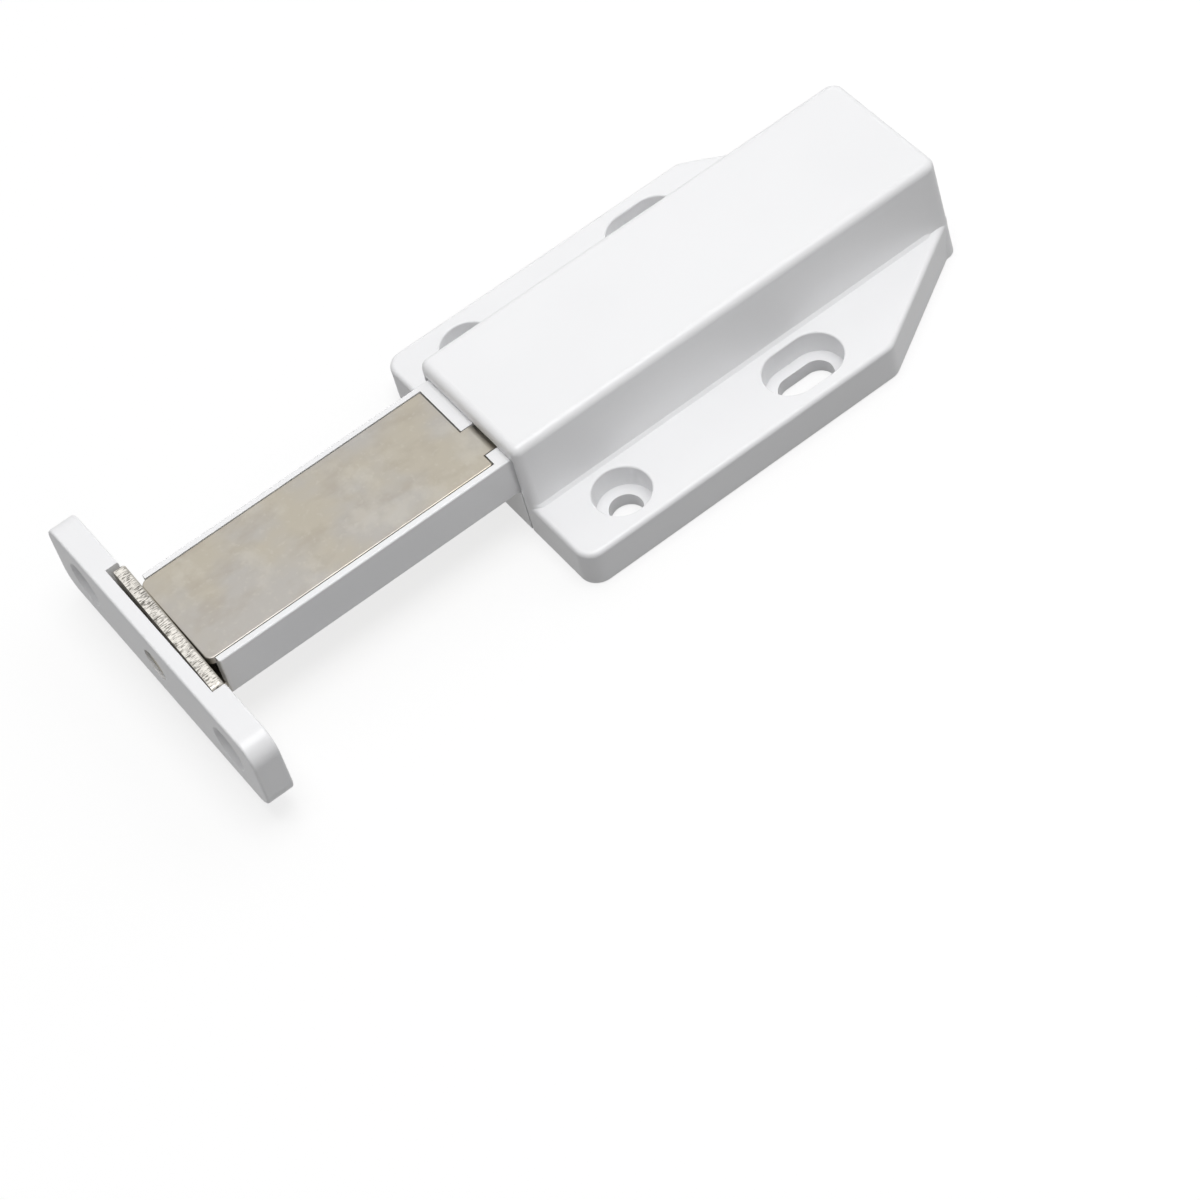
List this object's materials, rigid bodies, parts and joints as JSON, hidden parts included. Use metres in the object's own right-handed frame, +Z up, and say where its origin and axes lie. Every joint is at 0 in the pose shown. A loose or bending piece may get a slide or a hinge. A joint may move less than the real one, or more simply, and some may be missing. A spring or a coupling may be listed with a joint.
{
  "type": "magnetic catch",
  "caption": "Push-to-open magnetic cabinet catch: white moulded housing with screw flanges, extended spring plunger with steel pole plates, and a door strike with steel keeper.",
  "frame": {"origin": "on the base plane, midway between the two round screw holes of the housing", "axes": "+X out of the housing along the plunger towards the door, +Z up from the mounting surface, +Y to the left when looking along +X"},
  "size_m": [0.1239, 0.0514, 0.017],
  "materials": {
    "white_plastic": "smooth glossy cool white moulding",
    "nickel_steel": "satin nickel plating, slightly warm",
    "spring_steel": "bright drawn wire and strip",
    "ferrite": "dull dark grey sintered ferrite"
  },
  "bodies": {
    "housing": {"housing": "white_plastic", "base_tray": "white_plastic", "wire_retainer": "spring_steel", "spring_left": "spring_steel", "spring_right": "spring_steel"},
    "latch_wire": {"latch_wire": "spring_steel"},
    "plunger": {"plunger_body": "white_plastic", "upper_pole_plate": "nickel_steel", "lower_pole_plate": "nickel_steel", "magnet": "ferrite"},
    "strike": {"strike_carrier": "white_plastic", "keeper_stud": "nickel_steel"},
    "keeper": {"keeper_plate": "nickel_steel"}
  },
  "joints": [
    {"name": "plunger_slide", "type": "slide", "parent": "housing", "child": "plunger", "axis": [1, 0, 0], "range_m": [-0.046, 0], "stiffness_N_per_m": 760, "springref_m": 0.006, "deforming": ["spring_left", "spring_right"]},
    {"name": "latch_wire_swing", "type": "hinge", "parent": "housing", "child": "latch_wire", "pos_m": [-0.056, -0.0023, 0.0024], "axis": [0, 0, 1], "range_deg": [0, 18]},
    {"name": "strike_release", "type": "slide", "parent": "plunger", "child": "strike", "axis": [1, 0, 0], "range_m": [0, 0.03]},
    {"name": "keeper_rock", "type": "hinge", "parent": "strike", "child": "keeper", "pos_m": [0.05993, 0, 0.00935], "axis": [0, 0, 1], "range_deg": [0, 2.4]}
  ]
}
